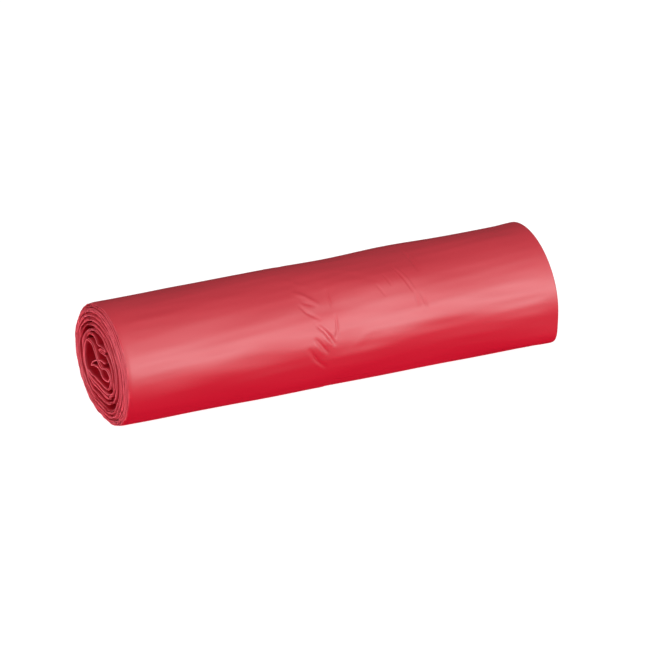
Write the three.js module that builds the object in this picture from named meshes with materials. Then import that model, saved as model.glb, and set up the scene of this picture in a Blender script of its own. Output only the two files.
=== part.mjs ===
// A roll of bin bags: one long strip of folded plastic film, wound without a core and slumped under its own weight.
// Millimetres, +Z up. The roll lies along X, and its origin is under its middle, on the surface that it rests on.
import * as THREE from "three";

// The strip of folded bags. Each visible turn is a bundle of film layers that lie tight together.
const STRIP_WIDTH = 348; // the folded width of a bag, along the roll
const STRIP_THICKNESS = 1.6; // one bundle of layers
const TAIL_THICKNESS = 0.5; // a single folded bag, where the strip ends

// The winding, from the open middle outwards. It comes to 107 wide and 88 high.
const BORE_WIDTH = 29;
const BORE_HEIGHT = 11;
const LOOSE_TURNS = 5;
const LOOSE_GAP = 2.9; // the open space between loose turns
const TIGHT_TURNS = 8;
const TIGHT_GAP = 0.4; // the fine line between tight turns

// How the roll has settled.
const REST_FLAT_WIDTH = 26; // what the outermost turn lies on
const TELESCOPE = 3; // how far the middle has slid out of the near end

// The strip's outer end lies on the far side, a little below the middle.
const TAIL_DIRECTION = THREE.MathUtils.degToRad(-25);
const TAIL_TAPER = 0.1; // in turns

// How finely the round stretches are cut.
const STEPS_PER_TURN = 40;
const TONGUE_STEPS = 22;

// The strip's inner end crosses the open middle as a soft S, in shares of the bore's half width and half height.
const TONGUE_ROUTE = [
  [0.82, 0.42],
  [0.38, 0.5],
  [0.02, 0.0],
  [-0.36, -0.48],
  [-0.72, -0.16],
];

const turns = LOOSE_TURNS + TIGHT_TURNS;

// How far the strip's middle lies from the bore's edge, after a number of turns.
function stackAt(turn) {
  const loose = Math.min(turn, LOOSE_TURNS);
  const tight = Math.max(turn - LOOSE_TURNS, 0);
  return STRIP_THICKNESS * (turn + 0.5) + LOOSE_GAP * loose + TIGHT_GAP * tight;
}

// The half width and half height of the oval that the strip's middle follows.
function halfSizesAt(turn) {
  const stack = stackAt(turn);
  return { across: BORE_WIDTH / 2 + stack, up: BORE_HEIGHT / 2 + stack };
}

// Each turn sags flat where it bears on the one below, at the same share of its height.
const outermost = halfSizesAt(turns);
const slump = Math.sqrt(1 - (REST_FLAT_WIDTH / 2 / outermost.across) ** 2);

// The level of that flat stretch, which is the height where the turn passes straight below the middle.
function flatLevelAt(turn) {
  const underside = turns + (TAIL_DIRECTION + Math.PI / 2) / (2 * Math.PI);
  const lowest = underside - Math.round(underside - turn);
  return -halfSizesAt(lowest).up * slump;
}

function pointAt(turn) {
  const { across, up } = halfSizesAt(turn);
  const direction = TAIL_DIRECTION + 2 * Math.PI * (turns - turn);
  return new THREE.Vector2(
    across * Math.cos(direction),
    Math.max(up * Math.sin(direction), flatLevelAt(turn)),
  );
}

// The middle line of the strip in the roll's section, from its inner end to its tail.
function middleLine() {
  const start = pointAt(0);
  const route = TONGUE_ROUTE.map(
    ([across, up]) =>
      new THREE.Vector2((across * BORE_WIDTH) / 2, (up * BORE_HEIGHT) / 2),
  );
  const tongue = new THREE.SplineCurve([...route.reverse(), start]);
  const line = tongue.getSpacedPoints(TONGUE_STEPS).slice(0, -1);
  const steps = turns * STEPS_PER_TURN;
  for (let step = 0; step <= steps; step += 1) {
    line.push(pointAt(step / STEPS_PER_TURN));
  }
  return line;
}

// The strip keeps its thickness up to the last stretch, which thins out to a single bag.
function thicknessAt(index, count) {
  const turnsLeft = (count - 1 - index) / STEPS_PER_TURN;
  const share = Math.min(turnsLeft / TAIL_TAPER, 1);
  return THREE.MathUtils.lerp(TAIL_THICKNESS, STRIP_THICKNESS, share);
}

// The strip's section: its outer side from the inner end to the tail, and back along its inner side.
function stripSection() {
  const line = middleLine();
  const outer = [];
  const inner = [];
  line.forEach((point, index) => {
    const before = line[Math.max(index - 1, 0)];
    const after = line[Math.min(index + 1, line.length - 1)];
    const along = after.clone().sub(before).normalize();
    const outwards = new THREE.Vector2(-along.y, along.x);
    const bore = -STRIP_THICKNESS / 2;
    outer.push(
      point
        .clone()
        .addScaledVector(outwards, bore + thicknessAt(index, line.length)),
    );
    inner.push(point.clone().addScaledVector(outwards, bore));
  });
  return new THREE.Shape([...outer, ...inner.reverse()]);
}

// The turns have slid along each other, so the middle stands out at the near end and back at the far end.
function telescope(geometry) {
  const { across, up } = outermost;
  const place = geometry.getAttribute("position");
  for (let index = 0; index < place.count; index += 1) {
    const reach = Math.hypot(
      place.getY(index) / across,
      place.getZ(index) / up,
    );
    const slide = TELESCOPE * Math.max(1 - reach ** 2, 0);
    place.setX(index, place.getX(index) - slide);
  }
  return geometry;
}

// Puts the middle of the underside at the origin.
function seat(geometry) {
  geometry.computeBoundingBox();
  const box = geometry.boundingBox;
  const middle = box.getCenter(new THREE.Vector3());
  return geometry.translate(-middle.x, -middle.y, -box.min.z);
}

function bagRollGeometry() {
  const geometry = new THREE.ExtrudeGeometry(stripSection(), {
    depth: STRIP_WIDTH,
    bevelEnabled: false,
  });
  // The section's own x and y become Y and Z, and its depth becomes X.
  const lying = new THREE.Matrix4().makeBasis(
    new THREE.Vector3(0, 1, 0),
    new THREE.Vector3(0, 0, 1),
    new THREE.Vector3(1, 0, 0),
  );
  return seat(telescope(geometry.applyMatrix4(lying)));
}

const redFilm = new THREE.MeshStandardMaterial({
  color: 0xc4182f,
  roughness: 0.38,
  metalness: 0,
});

const bagRoll = new THREE.Mesh(bagRollGeometry(), redFilm);
bagRoll.name = "bag_roll";

const binBags = new THREE.Group();
binBags.add(bagRoll);

export default binBags;
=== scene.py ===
# A coreless roll of red bin bags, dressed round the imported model.
# Lengths are millimetres until a mesh is made, and the section is drawn as (y, z) about its middle.
# The near end is the one that the camera sees. Degrees round the roll count up from the camera's side.
import math

import bpy
import numpy as np
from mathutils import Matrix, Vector


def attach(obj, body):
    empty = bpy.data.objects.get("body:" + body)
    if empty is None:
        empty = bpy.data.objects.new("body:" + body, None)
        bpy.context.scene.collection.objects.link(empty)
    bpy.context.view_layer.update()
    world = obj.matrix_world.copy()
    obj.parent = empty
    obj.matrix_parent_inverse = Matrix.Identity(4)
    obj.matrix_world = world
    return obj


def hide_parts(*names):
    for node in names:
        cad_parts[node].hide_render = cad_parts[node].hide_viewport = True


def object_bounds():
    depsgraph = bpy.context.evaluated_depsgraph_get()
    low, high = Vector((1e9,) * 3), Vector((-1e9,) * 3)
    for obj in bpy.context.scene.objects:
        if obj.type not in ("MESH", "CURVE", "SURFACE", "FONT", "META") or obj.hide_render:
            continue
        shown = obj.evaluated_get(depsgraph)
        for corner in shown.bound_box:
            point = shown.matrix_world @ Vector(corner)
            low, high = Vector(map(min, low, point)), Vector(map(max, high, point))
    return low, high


MM = 0.001
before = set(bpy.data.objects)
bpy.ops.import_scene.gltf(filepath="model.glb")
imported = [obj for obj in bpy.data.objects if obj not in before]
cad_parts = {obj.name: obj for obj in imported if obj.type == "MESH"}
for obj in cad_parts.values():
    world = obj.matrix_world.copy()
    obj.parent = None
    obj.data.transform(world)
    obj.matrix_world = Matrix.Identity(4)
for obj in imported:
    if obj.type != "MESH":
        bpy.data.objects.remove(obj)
cad_low, cad_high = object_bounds()

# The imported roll: its box, and how high the middle of its section lies.
LENGTH = (cad_high.x - cad_low.x) / MM
HALF_WIDTH = (cad_high.y - cad_low.y) / 2 / MM
HEIGHT = (cad_high.z - cad_low.z) / MM
SHARE_ABOVE_MIDDLE = 0.513
HALF_HEIGHT = SHARE_ABOVE_MIDDLE * HEIGHT
MIDDLE_HEIGHT = HEIGHT - HALF_HEIGHT

# The winding, counted in turns from its inner end. The spiral takes over from the crumpled middle.
SPIRAL_START = 3.3
TURNS = 13
TAIL_DIRECTION = -25.0
BORE_HALF_WIDTH = 14.5
BORE_HALF_HEIGHT = 5.5
SPIRAL_SAMPLES = 1400
# How far the strip lies from the bore's edge at some turns.
STACK_TURNS = (3.0, 4.0, 5.0, 13.0)
STACK_HEIGHTS = (14.6, 19.3, 26.0, 39.3)
# Each turn is flat at the bottom, at this share of its half height.
SAG_TURNS = (3.0, 5.0, 9.0, 13.0)
SAGS = (0.92, 0.94, 0.968, 0.97)
# A loose turn arches up over the crumpled middle.
LOOSE_LIFT = 3.4
LOOSE_LIFT_TURN = 3.7
LOOSE_LIFT_SPREAD = 0.45
# Every second turn of the tight pack lies closer to its neighbour.
PAIRING = 0.2
PAIRING_PHASE = 0.35
PAIRED_FROM, PAIRED_TO = 5.0, 11.4

# How the turns have slid along each other, and how the outermost ones draw back at both ends.
TELESCOPE = 3.0
SHOULDER_DEPTH = 2.4
FAR_SHOULDER_DEPTH = 0.9
SHOULDER_START = 0.84
SHOULDER_CURVE = 1.5
# On the camera's side the outer turns stand out a little at the near end.
NEAR_LEAN = 3.0
LEAN_FROM, LEAN_TO = 0.35, 0.75
LEAN_CURVE = 1.3

# The strip's folded layers. Three lie in each turn, further apart where the pack is loose.
PLY_THICKNESS = 0.4
PLY_OFFSETS = (-0.42, 0.0, 0.42)
PLY_STEP = 2.1
LOOSE_SPREAD = 0.45
SPREAD_RISE, SPREAD_FALL = (0.35, 0.5), (0.66, 0.78)
# The skin takes the place of the outermost layer in the last turn. That layer stops just before it.
SKIN_OFFSET = 0.78
SKIN_LAST_TURN = 12.0
SKIN_LEAD_IN = 0.012
PLY_STOP = 4
LAST_TURN_SAMPLES = 200

# The middle of the near end in the photograph, from the strip's inner end to the first whole turn.
MIDDLE_ROUTE = [
    (20.5, -12.5), (12.5, -12.5), (1.5, -12.0), (-10.5, -12.5), (-17.0, -12.0), (-21.0, -8.0),
    (-22.5, -3.0), (-21.0, 1.5), (-17.0, 4.0), (-12.5, 3.5), (-8.0, 1.5), (-2.5, 3.0), (1.0, 5.0),
    (4.0, 8.0), (7.5, 11.0), (12.0, 13.0), (17.5, 13.5), (22.5, 12.0), (26.0, 7.0), (27.5, 0.5),
    (26.5, -7.0), (22.0, -13.0), (13.0, -15.5), (-0.5, -16.0), (-11.0, -16.5), (-19.5, -15.0),
    (-26.0, -11.5), (-28.5, -5.5), (-27.5, 2.5), (-24.0, 9.0), (-20.5, 12.5), (-16.0, 15.0),
    (-11.0, 14.0), (-5.5, 13.5), (-1.5, 14.5), (-7.0, 16.0), (-15.0, 17.5), (-9.5, 19.0),
    (-3.5, 18.0), (1.0, 17.0), (4.0, 19.0), (8.0, 20.5), (13.5, 20.5), (19.5, 18.5), (25.0, 14.0),
    (29.5, 8.0), (31.0, 0.0), (29.5, -8.5), (24.5, -15.5), (15.0, -19.0), (2.0, -19.5),
    (-10.5, -19.8), (-20.0, -18.5),
]
# A layer of the innermost bag that has come loose and folded over. It reads the ripples as layer 5.
FOLD_ROUTE = [
    (-12.0, 7.5), (-6.5, 7.0), (-1.5, 5.5), (2.5, 3.5), (6.5, 2.0), (10.5, -1.0), (14.5, -5.5),
    (8.0, -2.5), (2.0, -1.0), (-3.0, -2.5), (-7.0, -5.5), (-12.5, -6.0), (-18.0, -5.0), (-20.0, -1.5),
]
FOLD_THICKNESS = 0.9
FOLD_STEP = 1.0
FOLD_LAYER = 5
POINTS_PER_SPAN = 8

# Creases that the photograph shows: points (mm along the roll, degrees round it), half width, height.
CREASES = [
    ([(-27, 65), (-21, 59), (-14, 50)], 2.0, 0.65),
    ([(-24, 54), (-17, 49)], 1.4, -0.4),
    ([(-28, 51), (-24, 44), (-16, 36)], 1.4, -0.6),
    ([(-21, 33), (-17, 31)], 1.5, 0.3),
    ([(-20, 33), (-13, 22), (-8, 11)], 1.7, -0.9),
    ([(-16, 19), (-10, 9)], 1.8, 0.45),
    ([(-22, 18), (-14, 4)], 1.5, -0.8),
    ([(-24, 14), (-17, 1)], 1.6, 0.3),
    ([(-28, 9), (-22, -4), (-15, -12)], 1.8, -0.8),
    ([(-25, -2), (-18, -13)], 1.7, 0.3),
    ([(-3, 62), (-4, 45)], 0.9, -0.45),
    ([(-3, 37), (-4, 24), (-6, 17)], 0.9, -0.5),
    ([(-29, 82), (-17, 70)], 2.5, 0.25),
    ([(55, 72), (62, 45)], 0.9, -0.5),
    ([(57, 72), (64, 45)], 1.0, 0.25),
    ([(73, 93), (73, 65)], 2.0, -0.7),
    ([(45, 65), (47, 54)], 1.0, -0.3),
    ([(36, 56), (40, 46)], 1.0, -0.28),
    ([(63, 44), (63, 31)], 0.9, -0.3),
    ([(68, 41), (70, 27)], 0.9, -0.35),
    ([(66, 40), (67, 28)], 0.9, 0.2),
    ([(-50, 113), (-46, 107)], 1.2, 0.35),
    ([(12, 83), (27, 74)], 2.6, 0.25),
    ([(20, 74), (38, 60)], 3.0, -0.25),
    ([(-72, 30), (-70, 20)], 1.4, -0.16),
    ([(6, 2), (20, 16), (30, 17)], 3.4, 0.25),
]
MM_PER_DEGREE = 0.855
CREASE_FADE_START, CREASE_FADE_SPAN, CREASE_FADE_CURVE = 0.08, 0.84, 0.7

# Guessed creases on the sides that the photograph doesn't show, in groups: middle, spread and count.
# They start in a range of degrees, lean by some millimetres a degree and rise by some degrees.
HIDDEN_GROUPS = [(-20, 12, 14), (62, 14, 10), (-110, 30, 5), (130, 26, 5)]
BACK_DEGREES = (100, 195)
UNDERSIDE_DEGREES = (-150, -62)
SHARE_ON_BACK = 0.65
HIDDEN_LEANS = (-0.7, 0.7)
HIDDEN_RISES = (9, 24)
LEAN_HALFWAY = 0.4
SHARE_OF_VALLEYS = 0.7
VALLEY_DEPTHS = (0.3, 0.8)
RIDGE_HEIGHTS = (0.2, 0.5)
HIDDEN_HALF_WIDTHS = (0.9, 2.2)

rng = np.random.default_rng(11)
RIPPLE_WAVES = 28


def smooth_step(low, high, value):
    """From 0 at low to 1 at high, and level beyond them. High may be the smaller one."""
    share = np.clip((value - low) / (high - low), 0, 1)
    return share * share * (3 - 2 * share)


def band(rise, fall, value):
    """1 between two ranges, with a smooth rise over the first one and a smooth fall over the second."""
    return smooth_step(*rise, value) * (1 - smooth_step(*fall, value))


def bell(distance, half_width):
    return np.exp(-((distance / half_width) ** 2))


class Ripples:
    """A smooth random height over a plane, as a sum of waves with lengths in the given ranges."""

    def __init__(self, wave_lengths_x, wave_lengths_y):
        signs = rng.choice((-1, 1), RIPPLE_WAVES)
        self.pull_x = 2 * np.pi / rng.uniform(*wave_lengths_x, RIPPLE_WAVES) * signs
        self.pull_y = 2 * np.pi / rng.uniform(*wave_lengths_y, RIPPLE_WAVES)
        self.phase = rng.uniform(0, 2 * np.pi, RIPPLE_WAVES)

    def at(self, x, y):
        total = np.zeros(np.broadcast(x, y).shape)
        for pull_x, pull_y, phase in zip(self.pull_x, self.pull_y, self.phase):
            total += np.cos(pull_x * x + pull_y * y + phase)
        return total * math.sqrt(2 / RIPPLE_WAVES)


def towards(direction, elevation):
    """A unit vector. Direction 0 is the camera's side of the roll, and 90 is its far end."""
    turned, raised = math.radians(direction), math.radians(elevation)
    return Vector(
        (
            math.sin(turned) * math.cos(raised),
            -math.cos(turned) * math.cos(raised),
            math.sin(raised),
        )
    )


def look_back(thing, away):
    """Turns a camera or lamp that stands in a direction so that it points back along it."""
    thing.rotation_euler = (-away).to_track_quat("-Z", "Y").to_euler()


# The camera stands where the photograph's did, level, with the object a little off its axis.
# The frame width is what the picture spans at the object's distance.
CAMERA_AZIMUTH = -24.12
CAMERA_ELEVATION = 25.55
CAMERA_DISTANCE = 6093.0
FRAME_WIDTH = 483.96
AIM_RIGHT = 5.8
AIM_UP = -0.74
SENSOR = 36.0


def make_camera():
    azimuth = math.radians(CAMERA_AZIMUTH)
    back = towards(CAMERA_AZIMUTH, CAMERA_ELEVATION)
    right = Vector((math.cos(azimuth), math.sin(azimuth), 0))
    up = back.cross(right)
    target = Vector((TELESCOPE / 2, 0, MIDDLE_HEIGHT)) + right * AIM_RIGHT + up * AIM_UP
    data = bpy.data.cameras.new("photo_camera")
    data.sensor_width = SENSOR
    data.lens = SENSOR * CAMERA_DISTANCE / FRAME_WIDTH
    data.clip_start = 0.1
    data.clip_end = 100
    camera = bpy.data.objects.new("photo_camera", data)
    bpy.context.collection.objects.link(camera)
    camera.location = (target + back * CAMERA_DISTANCE) * MM
    look_back(camera, back)
    bpy.context.scene.camera = camera


# The winding


def direction_at(turn):
    return np.radians(TAIL_DIRECTION + 360 * (TURNS - turn))


def half_sizes_at(turn):
    """The half width and half height of the oval at some turn, or at an array of them."""
    stack = np.interp(turn, STACK_TURNS, STACK_HEIGHTS)
    paired = band((PAIRED_FROM, PAIRED_FROM + 1), (PAIRED_TO - 1, PAIRED_TO), turn)
    stack = stack + PAIRING * paired * np.sin(np.pi * (turn + PAIRING_PHASE))
    return BORE_HALF_WIDTH + stack, BORE_HALF_HEIGHT + stack


def spiral_at(turn):
    """The strip's middle line: an oval spiral, flat where each turn bears on the one below."""
    across, up = half_sizes_at(turn)
    direction = direction_at(turn)
    lifted = LOOSE_LIFT * bell(turn - LOOSE_LIFT_TURN, LOOSE_LIFT_SPREAD)
    y = across * np.cos(direction)
    z = (up + lifted * np.maximum(np.sin(direction), 0) ** 2) * np.sin(direction)
    underside = TURNS + (TAIL_DIRECTION + 90) / 360
    lowest = underside - np.round(underside - turn)
    flat = -half_sizes_at(lowest)[1] * np.interp(lowest, SAG_TURNS, SAGS)
    return np.stack([y, np.maximum(z, flat)], axis=-1)


def smooth_line(points):
    """A centripetal Catmull-Rom curve through the points."""
    points = np.array(points, dtype=float)
    padded = np.vstack([2 * points[0] - points[1], points, 2 * points[-1] - points[-2]])
    line = []
    for p0, p1, p2, p3 in zip(padded, padded[1:], padded[2:], padded[3:]):
        t1 = np.linalg.norm(p1 - p0) ** 0.5
        t2 = t1 + np.linalg.norm(p2 - p1) ** 0.5
        t3 = t2 + np.linalg.norm(p3 - p2) ** 0.5
        t = np.linspace(t1, t2, POINTS_PER_SPAN, endpoint=False)[:, None]
        a1 = (t1 - t) / t1 * p0 + t / t1 * p1
        a2 = (t2 - t) / (t2 - t1) * p1 + (t - t1) / (t2 - t1) * p2
        a3 = (t3 - t) / (t3 - t2) * p2 + (t - t2) / (t3 - t2) * p3
        b1 = (t2 - t) / t2 * a1 + t / t2 * a2
        b2 = (t3 - t) / (t3 - t1) * a2 + (t - t1) / (t3 - t1) * a3
        line.append((t2 - t) / (t2 - t1) * b1 + (t - t1) / (t2 - t1) * b2)
    line.append(points[-1:])
    return np.vstack(line)


def lengths_along(line):
    steps = np.linalg.norm(np.diff(line, axis=0), axis=1)
    return np.concatenate([[0], np.cumsum(steps)])


def respaced(line, step):
    along = lengths_along(line)
    wanted = np.linspace(0, along[-1], int(round(along[-1] / step)) + 1)
    return np.stack([np.interp(wanted, along, line[:, axis]) for axis in (0, 1)], axis=1)


def normals_of(line):
    """Unit normals to the left of the way the line runs, which is outwards round the roll."""
    along = np.gradient(line, axis=0)
    along /= np.linalg.norm(along, axis=1)[:, None]
    return np.stack([-along[:, 1], along[:, 0]], axis=1)


def reach_of(y, z):
    """How far out a point of the section lies, from 0 in the middle to 1 at the outside."""
    return np.hypot(y / HALF_WIDTH, z / HALF_HEIGHT)


def end_places(y, z):
    """Where the strip's near and far edges lie along the roll, before any unevenness."""
    reach = np.minimum(reach_of(y, z), 1)
    bulge = TELESCOPE * (1 - reach**2)
    shoulder = smooth_step(SHOULDER_START, 1.0, reach) ** SHOULDER_CURVE
    towards_camera = np.maximum(-y / HALF_WIDTH, 0) ** LEAN_CURVE
    lean = NEAR_LEAN * smooth_step(LEAN_FROM, LEAN_TO, reach) * towards_camera
    near = -LENGTH / 2 + TELESCOPE - bulge + SHOULDER_DEPTH * shoulder - lean
    far = LENGTH / 2 - bulge - FAR_SHOULDER_DEPTH * shoulder
    return near, far


# Meshes


def new_object(name, vertices, faces, material, highlight_shares):
    """A piece of film, pressed flat where it would reach below the table."""
    mesh = bpy.data.meshes.new(name)
    places = np.array(vertices)
    places[:, 2] = np.maximum(places[:, 2], 0)
    mesh.from_pydata((places * MM).tolist(), [], faces)
    # Each vertex carries the share of painted edge highlight that it takes.
    mesh.attributes.new("painted_edge_highlight", "FLOAT", "POINT").data.foreach_set("value", highlight_shares)
    mesh.validate()
    mesh.polygons.foreach_set("use_smooth", [True] * len(mesh.polygons))
    mesh.materials.append(material)
    piece = bpy.data.objects.new(name, mesh)
    bpy.context.collection.objects.link(piece)
    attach(piece, "root")
    return piece


def grid_faces(rows, columns, start=0, around=False):
    """Quads over a grid of vertices, row by row. With around, each row closes on itself."""
    spans = columns if around else columns - 1
    faces = []
    for row in range(rows - 1):
        for column in range(spans):
            here = start + row * columns + column
            beside = start + row * columns + (column + 1) % columns
            faces.append((here, beside, beside + columns, here + columns))
    return faces


# Stations across a layer: how far in from its edge, and what share of its thickness it has there.
EDGE_STATIONS = [(0.12, 0.7), (0.4, 1.0), (2.5, 1.0), (9.0, 1.0), (14.0, 1.0)]
# Out of sight the layers lie a little further in, which leaves the skin room for its creases.
SUNK_DEPTH = 14.0
SINKING = 1.3
# The layers flutter at their edges, and the edges are ragged and wander in and out.
FLUTTER = 0.16
FLUTTER_REACH = 3.0
EDGE_RAGGEDNESS = 0.12
EDGE_WANDER = 0.35
WANDER_RISE = (60, 330)
# Where each layer, and the far end, read those patterns, so that no two edges are alike.
FLUTTER_SHIFTS = (23.0, 700)
RAGGED_SHIFTS = (37.0, 900)
WANDER_SHIFTS = (4.0, 4000)
# Rings in the tight pack where the edges lie deeper and painted shade darkens them. They wave a little
# round the roll:
# waves a turn, height in rings, phase.
GROOVE_PITCH = 4.1
GROOVE_DEPTH = 1.3
GROOVE_SHARPNESS = 1.5
GROOVE_RISE, GROOVE_FALL = (0.48, 0.6), (0.84, 0.92)
GROOVE_WAVES = ((2, 0.22, 0.6), (5, 0.1, 0.0))
# How much painted highlight the edges take, for the light that cut and folded film catches there: fully
# at the very edge, less in the grooves and at the rim, where painted shade takes some of it back.
PAINTED_HIGHLIGHT_DEPTH = 0.4
# Painted shade darkens the edges that lie in the grooves.
GROOVE_PAINTED_SHADE = 0.85
# Painted shade darkens the edges near the outer rim of the end.
RIM_PAINTED_SHADE = 0.35
RIM_SHADE_RISE = (0.88, 0.98)
ragged = Ripples((9, 60), (2, 9))
flutter = Ripples((7, 26), (2, 9))
wander = Ripples((210, 640), (40, 90))


def painted_highlight_at(depth):
    """How much painted highlight a cut or folded edge takes at some depth from that edge, standing in for
    the light that the edge catches.
    """
    return bell(np.asarray(depth), PAINTED_HIGHLIGHT_DEPTH)


def groove_at(line):
    """How far the edges have sunk into a groove, from 0 to 1, for each step of a layer's line."""
    reach = reach_of(line[:, 0], line[:, 1])
    direction = np.arctan2(line[:, 1], line[:, 0])
    rings = (1 - reach) * HALF_WIDTH / GROOVE_PITCH
    for waves, height, phase in GROOVE_WAVES:
        rings = rings + height * np.sin(waves * direction + phase)
    ripple = (0.5 + 0.5 * np.cos(2 * np.pi * rings)) ** GROOVE_SHARPNESS
    return band(GROOVE_RISE, GROOVE_FALL, reach) * ripple


def at_both_ends(pattern, shifts, along, layer):
    """A pattern's heights along a layer's near edge and along its far edge."""
    layer_shift, end_shift = shifts
    row = layer * layer_shift
    return pattern.at(along, row), pattern.at(along + end_shift, row)


def layer_ends(line, layer, groove):
    """Where a layer's near and far edges lie along the roll, uneven as they are."""
    along = lengths_along(line)
    from_tail = along[-1] - along
    settled = smooth_step(*WANDER_RISE, from_tail)
    near, far = end_places(line[:, 0], line[:, 1])
    wander_near, wander_far = at_both_ends(wander, WANDER_SHIFTS, from_tail, layer)
    ragged_near, ragged_far = at_both_ends(ragged, RAGGED_SHIFTS, along, layer)
    near = near + EDGE_WANDER * settled * wander_near
    near = near + EDGE_RAGGEDNESS * ragged_near + GROOVE_DEPTH * groove
    far = far + EDGE_WANDER * settled * wander_far
    far = far + EDGE_RAGGEDNESS * ragged_far - GROOVE_DEPTH * groove
    return near, far


def shift_at(depth, wave):
    """How far a layer stands off its line at some depth from an edge that flutters by a wave."""
    sunk = SINKING if depth >= SUNK_DEPTH else 0.0
    return wave * math.exp(-depth / FLUTTER_REACH) - sunk


def ply_rings(line, thickness, layer):
    """A closed ring of points round a film layer for each step of its line, and how much painted edge
    highlight they take.
    """
    outwards = normals_of(line)
    groove = groove_at(line)
    near, far = layer_ends(line, layer, groove)
    waves = at_both_ends(flutter, FLUTTER_SHIFTS, lengths_along(line), layer)
    wave_near, wave_far = [FLUTTER * wave for wave in waves]
    stations = [(near + depth, share, shift_at(depth, wave_near)) for depth, share in EDGE_STATIONS]
    stations += [
        (far - depth, share, shift_at(depth, wave_far)) for depth, share in reversed(EDGE_STATIONS)
    ]
    ring = [(near, 0.0, wave_near)]
    ring += [(x, share / 2, shift) for x, share, shift in stations]
    ring += [(far, 0.0, wave_far)]
    ring += [(x, -share / 2, shift) for x, share, shift in reversed(stations)]
    points = np.empty((len(line), len(ring), 3))
    for column, (x, side, shift) in enumerate(ring):
        off = side * thickness + shift
        points[:, column, 0] = x
        points[:, column, 1:] = line + outwards * off[:, None]
    depths = [depth for depth, _ in EDGE_STATIONS]
    side_depths = [0.0, *depths, *reversed(depths)]
    # Where the rim's painted shade falls.
    rim_shade = smooth_step(*RIM_SHADE_RISE, reach_of(line[:, 0], line[:, 1]))
    # Painted shade in the grooves and at the rim takes back part of the painted edge highlight.
    painted_light_share = (1 - GROOVE_PAINTED_SHADE * groove) * (1 - RIM_PAINTED_SHADE * rim_shade)
    return points, painted_light_share[:, None] * painted_highlight_at(side_depths * 2)[None, :]


def add_ply(vertices, highlight_paints, faces, line, thickness, layer):
    """Adds a closed film layer to the lists."""
    rings, highlight_paint = ply_rings(line, thickness, layer)
    rows, columns = rings.shape[:2]
    start = sum(len(block) for block in vertices)
    rings[:, :, 2] += MIDDLE_HEIGHT
    vertices.append(rings.reshape(-1, 3))
    highlight_paints.append(highlight_paint.reshape(-1))
    faces += grid_faces(rows, columns, start, around=True)
    faces.append(tuple(start + column for column in reversed(range(columns))))
    last = start + (rows - 1) * columns
    faces.append(tuple(last + column for column in range(columns)))


def winding_line():
    turns = np.linspace(SPIRAL_START, TURNS, SPIRAL_SAMPLES)
    middle = smooth_line(MIDDLE_ROUTE + [tuple(spiral_at(SPIRAL_START))])
    return respaced(np.vstack([middle[:-1], spiral_at(turns)]), PLY_STEP)


def make_wound_film(material):
    """Every layer of the winding but the outermost one of the last turn, which is the skin."""
    line = winding_line()
    outwards = normals_of(line)
    along = lengths_along(line)
    reach = reach_of(line[:, 0], line[:, 1])
    spread = 1.0 + LOOSE_SPREAD * band(SPREAD_RISE, SPREAD_FALL, reach)
    last_turns = np.linspace(SKIN_LAST_TURN, TURNS, LAST_TURN_SAMPLES)
    last_turn = lengths_along(spiral_at(last_turns))[-1]
    vertices, highlight_paints, faces = [], [], []
    for layer, offset in enumerate(PLY_OFFSETS):
        ply = line + outwards * (offset * spread)[:, None]
        if offset == max(PLY_OFFSETS):
            ply = ply[along <= along[-1] - last_turn - PLY_STOP]
        add_ply(vertices, highlight_paints, faces, ply, PLY_THICKNESS, layer)
    return new_object("wound_film", np.vstack(vertices), faces, material, np.concatenate(highlight_paints))


def make_inner_fold(material):
    vertices, highlight_paints, faces = [], [], []
    line = respaced(smooth_line(FOLD_ROUTE), FOLD_STEP)
    add_ply(vertices, highlight_paints, faces, line, FOLD_THICKNESS, FOLD_LAYER)
    return new_object("inner_fold", np.vstack(vertices), faces, material, np.concatenate(highlight_paints))


# The skin

SKIN_THICKNESS = 0.66
# The skin's outer side takes only a small share of the painted edge highlight.
SKIN_PAINTED_HIGHLIGHT_SHARE = 0.15
# Columns along the roll: finer where the film is creased, and at both ends.
COARSE_COLUMN = 2.5
CREASED_COLUMN = 0.62
CREASED_STRETCHES = [(-36, 4), (32, 80)]
END_COLUMN = 0.6
END_STRETCH = 7
INSIDE_COLUMNS = 31
# Rows round the roll: finer on the side of the creases that the photograph shows.
FINE_ROW = 0.66
COARSE_ROW = 1.4
FINE_FROM, FINE_TO = -22, 100
# How finely the spacing of columns and rows is worked out.
COLUMN_SAMPLES = 3000
ROW_SAMPLES = 4000
# The skin draws in at the near rim.
SKIN_RIM_DROP = 0.7
RIM_DROP_WIDTH = 2.0
RIM_DROP_CURVE = 1.5
# The degrees over which the skin comes free of the table, on the camera's side and at the back.
FREE_FRONT = (-90.5, -66)
FREE_BACK = (-89.5, -114)
# At the far end the skin stands a little free of the roll, and more at its low corner.
FLARE = 0.45
FLARE_WIDTH = 13.0
CORNER_BULGE = 3.8
CORNER_MIDDLE = -25
CORNER_HALF_WIDTH = 12.5
CORNER_RISE = (95, 10)
# The relief comes up over this distance from the edges. It is weaker where the skin lies on the table.
INLAND_RISE = (3, 18)
RESTING_SHARE = 0.25
LUMP_HEIGHT = 0.2
STREAK_HEIGHT = 0.045
# Broad rises in the skin: middle and half width round the roll, rise and fall along it, height.
PANELS = [
    (-40, 13, (-62, -28), (-10, -4), 0.5),
    (50, 15, (-8, 8), (55, 130), 1.3),
]
# The strip's outer end lifts off the roll and ends in the teeth of a torn perforation.
TAIL_REACH = 22
TAIL_LIFT = 0.7
TAIL_WAVE = 0.35
TEETH_REACH = 5
TEETH_PITCH = 4.2
TEETH_DEPTH = 0.9
TEETH_WAVE = 0.5
LIFT_ROW, TEETH_ROW = 0.0, 40.0
lumps = Ripples((70, 190), (34, 90))
streaks = Ripples((60, 200), (7, 16))
tail_wave = Ripples((30, 110), (2, 9))


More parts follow.
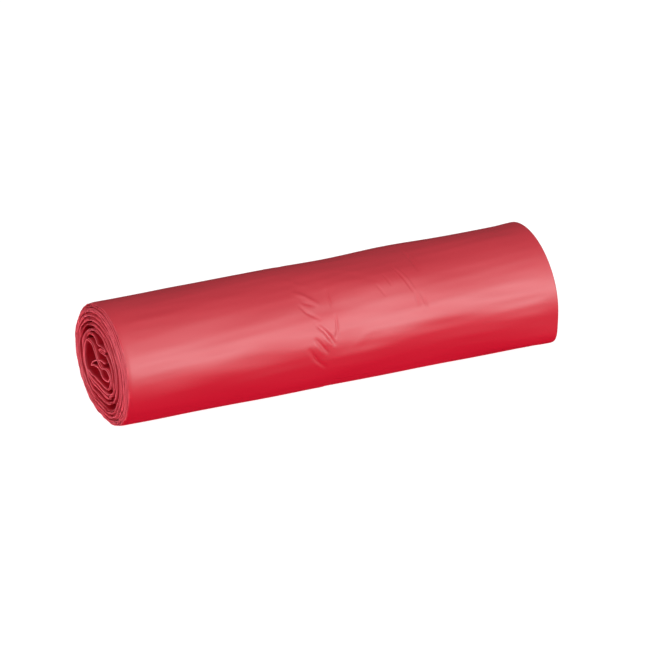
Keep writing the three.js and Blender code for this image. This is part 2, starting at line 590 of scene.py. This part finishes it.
def degrees_at(turn):
    """Degrees round the roll, counted on from about -155, where the skin starts, to 205 at its tail."""
    return 180 - np.degrees(direction_at(turn))


def spaced(places, steps, spacing):
    """Chooses places so that they lie the given spacing apart, which may differ from step to step."""
    amount = np.concatenate([[0], np.cumsum(steps / spacing[:-1])])
    return np.interp(np.linspace(0, amount[-1], int(amount[-1])), amount, places)


def stations_along():
    """Places along the roll from 0 at the near edge to 1 at the far one."""
    x = np.linspace(-LENGTH / 2, LENGTH / 2, COLUMN_SAMPLES)
    spacing = np.full(x.shape, COARSE_COLUMN)
    for low, high in CREASED_STRETCHES:
        spacing[(x > low) & (x < high)] = CREASED_COLUMN
    spacing[np.abs(x) > LENGTH / 2 - END_STRETCH] = END_COLUMN
    places = spaced(x, np.diff(x), spacing)
    return (places - places[0]) / (places[-1] - places[0])


def stations_around():
    """The turns at which the skin has its rows."""
    turns = np.linspace(SKIN_LAST_TURN - SKIN_LEAD_IN, TURNS, ROW_SAMPLES)
    degrees = (degrees_at(turns) + 180) % 360 - 180
    fine = (degrees > FINE_FROM) & (degrees < FINE_TO)
    steps = np.linalg.norm(np.diff(spiral_at(turns), axis=0), axis=1)
    return spaced(turns, steps, np.where(fine, FINE_ROW, COARSE_ROW))


def crease_height(x, around, points, half_width, height):
    """The height that one crease adds: a rounded ridge or valley along a line, fading out at its ends."""
    stops = np.array([(px, degrees * MM_PER_DEGREE) for px, degrees in points])
    legs = np.linalg.norm(np.diff(stops, axis=0), axis=1)
    best = np.full(x.shape, np.inf)
    place = np.zeros(x.shape)
    passed = 0.0
    for (ax, ay), (bx, by), leg in zip(stops, stops[1:], legs):
        ux, uy = (bx - ax) / leg, (by - ay) / leg
        run = np.clip((x - ax) * ux + (around - ay) * uy, 0, leg)
        gap = np.hypot(x - ax - run * ux, around - ay - run * uy)
        closer = gap < best
        best = np.where(closer, gap, best)
        place = np.where(closer, (passed + run) / legs.sum(), place)
        passed += leg
    fade = np.sin(np.pi * (CREASE_FADE_START + CREASE_FADE_SPAN * place)) ** CREASE_FADE_CURVE
    return height * fade * bell(best, half_width)


def hidden_creases():
    """Creases on the sides that the photograph doesn't show, each with points, half width and height."""
    creases = []
    for middle, spread, count in HIDDEN_GROUPS:
        for _ in range(count):
            x = middle + rng.normal(0, spread)
            on_back = rng.random() < SHARE_ON_BACK
            low = rng.uniform(*(BACK_DEGREES if on_back else UNDERSIDE_DEGREES))
            lean = rng.uniform(*HIDDEN_LEANS)
            rise = rng.uniform(*HIDDEN_RISES)
            halfway = (x + lean * rise * LEAN_HALFWAY, low + rise / 2)
            points = [(x, low), halfway, (x + lean * rise, low + rise)]
            valley = rng.random() < SHARE_OF_VALLEYS
            height = -rng.uniform(*VALLEY_DEPTHS) if valley else rng.uniform(*RIDGE_HEIGHTS)
            creases.append((points, rng.uniform(*HIDDEN_HALF_WIDTHS), height))
    return creases


def plain_relief(x, degrees):
    """The broad unevenness that the skin's inner and outer side share."""
    return LUMP_HEIGHT * lumps.at(x, degrees * MM_PER_DEGREE)


def creased_relief(x, degrees):
    """How far the skin's outer side stands off its even oval."""
    around = degrees * MM_PER_DEGREE
    relief = plain_relief(x, degrees) + STREAK_HEIGHT * streaks.at(x, around)
    for points, half_width, height in CREASES + hidden_creases():
        relief += crease_height(x, around, points, half_width, height)
    for middle, half_width, rise, fall, height in PANELS:
        relief += height * (bell(around - middle, half_width) * band(rise, fall, x))
    return relief


def skin_height(x, degrees, from_near, from_far, offset, relief_at):
    """How far one side of the skin lies off the strip's middle line, its tail left out."""
    free = smooth_step(*FREE_FRONT, degrees) + smooth_step(*FREE_BACK, degrees)
    free = np.clip(free, 0, 1)
    height = offset - SKIN_RIM_DROP * np.exp(-((from_near / RIM_DROP_WIDTH) ** RIM_DROP_CURVE))
    height = height + FLARE * free * smooth_step(FLARE_WIDTH, 0, from_far)
    low_corner = bell(degrees * MM_PER_DEGREE - CORNER_MIDDLE, CORNER_HALF_WIDTH)
    height = height + CORNER_BULGE * (low_corner * smooth_step(*CORNER_RISE, from_far))
    inland = smooth_step(*INLAND_RISE, np.minimum(from_near, from_far))
    inland = inland * (RESTING_SHARE + (1 - RESTING_SHARE) * free)
    return height + relief_at(x, degrees) * inland


def skin_sheet(shares, offset, relief_at):
    """One side of the skin as rows of points along the roll, and how much painted edge highlight they
    take.
    """
    turns = stations_around()
    line = spiral_at(turns)
    outwards = normals_of(line)
    along_line = np.stack([outwards[:, 1], -outwards[:, 0]], axis=1)
    along = lengths_along(line)
    left = (along[-1] - along)[:, None]
    near, far = end_places(*(line + outwards * SKIN_OFFSET).T)
    x = near[:, None] + (far - near)[:, None] * shares[None, :]
    degrees = degrees_at(turns)[:, None] * np.ones_like(x)
    from_near, from_far = x - near[:, None], far[:, None] - x
    height = skin_height(x, degrees, from_near, from_far, offset, relief_at)
    loose = smooth_step(TAIL_REACH, 0, left)
    height = height + loose * (TAIL_LIFT + TAIL_WAVE * tail_wave.at(x, LIFT_ROW))
    tooth = np.abs((x / TEETH_PITCH) % 1 - 0.5) * 2
    torn = tooth * TEETH_DEPTH + TEETH_WAVE * tail_wave.at(x, TEETH_ROW)
    torn = torn * smooth_step(TEETH_REACH, 0, left)
    section = (
        line[:, None, :]
        + outwards[:, None, :] * height[:, :, None]
        + along_line[:, None, :] * torn[:, :, None]
    )
    # Painted highlight along the skin's cut edges and its torn tail.
    highlight_paint = painted_highlight_at(np.minimum(np.minimum(from_near, from_far), left))
    return np.concatenate([x[:, :, None], section], axis=2), highlight_paint


def zip_rows(first, first_places, second, second_places):
    """Triangles between two lines of vertices that run the same way at different spacings."""
    faces = []
    i = j = 0
    while i < len(first) - 1 or j < len(second) - 1:
        step_first = j == len(second) - 1 or (
            i < len(first) - 1 and first_places[i + 1] <= second_places[j + 1]
        )
        if step_first:
            faces.append((first[i], first[i + 1], second[j]))
            i += 1
        else:
            faces.append((first[i], second[j + 1], second[j]))
            j += 1
    return faces


def flipped(faces):
    return [tuple(reversed(face)) for face in faces]


def skin_faces(rows, fine, coarse):
    """The faces of the skin: its outer side, its inner side and the four strips that join them."""
    base = rows * len(fine)
    faces = grid_faces(rows, len(fine)) + flipped(grid_faces(rows, len(coarse), base))
    for row in range(rows - 1):
        for column, inner_column in ((0, 0), (len(fine) - 1, len(coarse) - 1)):
            outer = row * len(fine) + column
            inner = base + row * len(coarse) + inner_column
            quad = (outer, outer + len(fine), inner + len(coarse), inner)
            faces += [quad] if column == 0 else flipped([quad])
    for row in (0, rows - 1):
        first = [row * len(fine) + column for column in range(len(fine))]
        second = [base + row * len(coarse) + column for column in range(len(coarse))]
        triangles = zip_rows(first, fine, second, coarse)
        faces += flipped(triangles) if row == 0 else triangles
    return faces


def make_outer_film(material):
    fine = stations_along()
    coarse = np.linspace(0, 1, INSIDE_COLUMNS)
    outside, outside_highlight_paint = skin_sheet(fine, SKIN_OFFSET, creased_relief)
    inside, inside_highlight_paint = skin_sheet(coarse, SKIN_OFFSET - SKIN_THICKNESS, plain_relief)
    highlight_paint = np.concatenate([SKIN_PAINTED_HIGHLIGHT_SHARE * outside_highlight_paint.reshape(-1), inside_highlight_paint.reshape(-1)])
    vertices = np.vstack([outside.reshape(-1, 3), inside.reshape(-1, 3)])
    vertices[:, 2] += MIDDLE_HEIGHT
    faces = skin_faces(len(outside), fine, coarse)
    return new_object("outer_film", vertices, faces, material, highlight_paint)


# Materials

# Faint clouds run along the roll, in the film's colour and in its gloss.
CLOUD_STRETCH = (9, 70, 70)
CLOUD_SCALE = 1.0
CLOUD_DETAIL = 3.0
SMOOTHER, ROUGHER = 0.05, 0.07
# Fine crinkles all over the film. Their height is in metres.
CRINKLE_SCALE = 260.0
CRINKLE_DETAIL = 4.0
CRINKLE_STRENGTH = 0.08
CRINKLE_HEIGHT = 0.0004
FILM_IOR = 1.6


def new_noise(tree, place, scale, detail):
    """The output of a noise texture at a place."""
    noise = tree.nodes.new("ShaderNodeTexNoise")
    noise.inputs["Scale"].default_value = scale
    noise.inputs["Detail"].default_value = detail
    tree.links.new(place, noise.inputs["Vector"])
    return noise.outputs["Fac"]


def new_mix(tree, factor, colour):
    """A node that mixes its first colour with this one."""
    mix = tree.nodes.new("ShaderNodeMix")
    mix.data_type = "RGBA"
    mix.inputs["B"].default_value = (*colour, 1)
    tree.links.new(factor, mix.inputs["Factor"])
    return mix


def film_material(name, colour, deep_colour, edge_highlight_colour, roughness, shine):
    """Film that is clouded between two colours, with a pale colour at its edges as a painted highlight.
    """
    material = bpy.data.materials.new(name)
    material.use_nodes = True
    tree = material.node_tree
    nodes, links = tree.nodes, tree.links
    shader = nodes["Principled BSDF"]
    place = nodes.new("ShaderNodeTexCoord").outputs["Object"]
    stretch = nodes.new("ShaderNodeMapping")
    stretch.inputs["Scale"].default_value = CLOUD_STRETCH
    links.new(place, stretch.inputs["Vector"])
    cloud = new_noise(tree, stretch.outputs["Vector"], CLOUD_SCALE, CLOUD_DETAIL)
    blend = new_mix(tree, cloud, colour)
    blend.inputs["A"].default_value = (*deep_colour, 1)
    # The attribute mixes in the pale edge colour, which is a painted highlight.
    edge = nodes.new("ShaderNodeAttribute")
    edge.attribute_name = "painted_edge_highlight"
    highlighted = new_mix(tree, edge.outputs["Fac"], edge_highlight_colour)
    links.new(blend.outputs["Result"], highlighted.inputs["A"])
    links.new(highlighted.outputs["Result"], shader.inputs["Base Color"])
    spread = nodes.new("ShaderNodeMapRange")
    spread.inputs["To Min"].default_value = roughness - SMOOTHER
    spread.inputs["To Max"].default_value = roughness + ROUGHER
    links.new(cloud, spread.inputs["Value"])
    links.new(spread.outputs["Result"], shader.inputs["Roughness"])
    crinkle = new_noise(tree, place, CRINKLE_SCALE, CRINKLE_DETAIL)
    bump = nodes.new("ShaderNodeBump")
    bump.inputs["Strength"].default_value = CRINKLE_STRENGTH
    bump.inputs["Distance"].default_value = CRINKLE_HEIGHT
    links.new(crinkle, bump.inputs["Height"])
    links.new(bump.outputs["Normal"], shader.inputs["Normal"])
    shader.inputs["IOR"].default_value = FILM_IOR
    shader.inputs["Specular IOR Level"].default_value = shine
    return material


# The studio

# Lamps: direction and elevation in degrees, distance and size in metres, power in watts.
LAMPS = {
    "overhead_softbox": (20, 62, 3.0, (3.2, 2.0), 14),
    "top_sheen": (20, 71, 3.0, (3.2, 1.3), 15),
    "front_softbox": (24, 26, 3.2, (2.6, 1.58), 88),
    "side_softbox": (-75, 28, 3.0, (1.6, 1.6), 40),
    "table_glow": (0, -90, 0.6, (3.0, 3.0), 43),
    "back_fill": (185, -6, 3.0, (3.0, 1.6), 33),
}
# Some lamps are seen as sheen only, and some light the film without being mirrored in it.
SHEEN_LAMPS = ("top_sheen",)
UNMIRRORED_LAMPS = ("table_glow", "back_fill")
# The sky is dark up to the first height and full from the second, as sines of their elevation.
SKY_FROM, SKY_TO = -0.05, 0.5
SKY_STRENGTH = 0.2
# The table, in metres. It lies a hair below the roll.
FLOOR_HALF_SIZE = 20.0
FLOOR_DROP = 0.0002


def area_light(name, direction, elevation, distance, size, power):
    away = towards(direction, elevation)
    data = bpy.data.lights.new(name, "AREA")
    data.shape = "RECTANGLE"
    data.size, data.size_y = size
    data.energy = power
    light = bpy.data.objects.new(name, data)
    bpy.context.collection.objects.link(light)
    light.location = Vector((0, 0, MIDDLE_HEIGHT * MM)) + away * distance
    look_back(light, away)
    return light


def make_lamps():
    for name, facts in LAMPS.items():
        light = area_light(name, *facts)
        if name in SHEEN_LAMPS:
            light.visible_diffuse = False
        if name in UNMIRRORED_LAMPS:
            light.visible_glossy = False
            light.data.cycles.use_multiple_importance_sampling = False


def make_floor():
    half = FLOOR_HALF_SIZE
    mesh = bpy.data.meshes.new("floor")
    corners = [(-half, -half, 0), (half, -half, 0), (half, half, 0), (-half, half, 0)]
    mesh.from_pydata(corners, [], [(0, 1, 2, 3)])
    floor = bpy.data.objects.new("floor", mesh)
    bpy.context.collection.objects.link(floor)
    floor.location.z = -FLOOR_DROP
    material = bpy.data.materials.new("lit_table")
    material.use_nodes = True
    shader = material.node_tree.nodes["Principled BSDF"]
    shader.inputs["Base Color"].default_value = (0.2, 0.2, 0.2, 1)
    shader.inputs["Roughness"].default_value = 0.9
    shader.inputs["Specular IOR Level"].default_value = 0.1
    shader.inputs["Emission Color"].default_value = (1, 1, 1, 1)
    shader.inputs["Emission Strength"].default_value = 0.96
    mesh.materials.append(material)
    # The film is lit from below by a lamp of its own, so that the white table doesn't wash out its red.
    floor.visible_glossy = False
    floor.visible_diffuse = False
    floor.visible_shadow = False


def make_sky():
    world = bpy.data.worlds.new("studio")
    world.use_nodes = True
    nodes, links = world.node_tree.nodes, world.node_tree.links
    background = nodes["Background"]
    sky = nodes.new("ShaderNodeTexCoord")
    split = nodes.new("ShaderNodeSeparateXYZ")
    links.new(sky.outputs["Generated"], split.inputs["Vector"])
    ramp = nodes.new("ShaderNodeMapRange")
    ramp.inputs["From Min"].default_value = SKY_FROM
    ramp.inputs["From Max"].default_value = SKY_TO
    ramp.inputs["To Min"].default_value = 0.0
    ramp.inputs["To Max"].default_value = SKY_STRENGTH
    background.inputs["Color"].default_value = (1, 1, 1, 1)
    links.new(split.outputs["Z"], ramp.inputs["Value"])
    links.new(ramp.outputs["Result"], background.inputs["Strength"])
    bpy.context.scene.world = world


make_camera()
# Each film's edge colour is a painted highlight for the light that its edges catch.
skin_film = film_material(
    "red_film",
    colour=(0.56, 0.002, 0.02),
    deep_colour=(0.5, 0.001, 0.016),
    edge_highlight_colour=(0.8, 0.085, 0.13),
    roughness=0.55,
    shine=1.0,
)
inner_film = film_material(
    "inner_film",
    colour=(0.52, 0.001, 0.014),
    deep_colour=(0.46, 0.001, 0.012),
    edge_highlight_colour=(1.0, 0.15, 0.2),
    roughness=0.5,
    shine=0.5,
)
outer_film = make_outer_film(skin_film)
wound_film = make_wound_film(inner_film)
inner_fold = make_inner_fold(inner_film)
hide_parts("bag_roll")
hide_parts("bag_roll")
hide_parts("bag_roll")
make_floor()
make_lamps()
make_sky()
bpy.context.scene.view_settings.view_transform = "Standard"
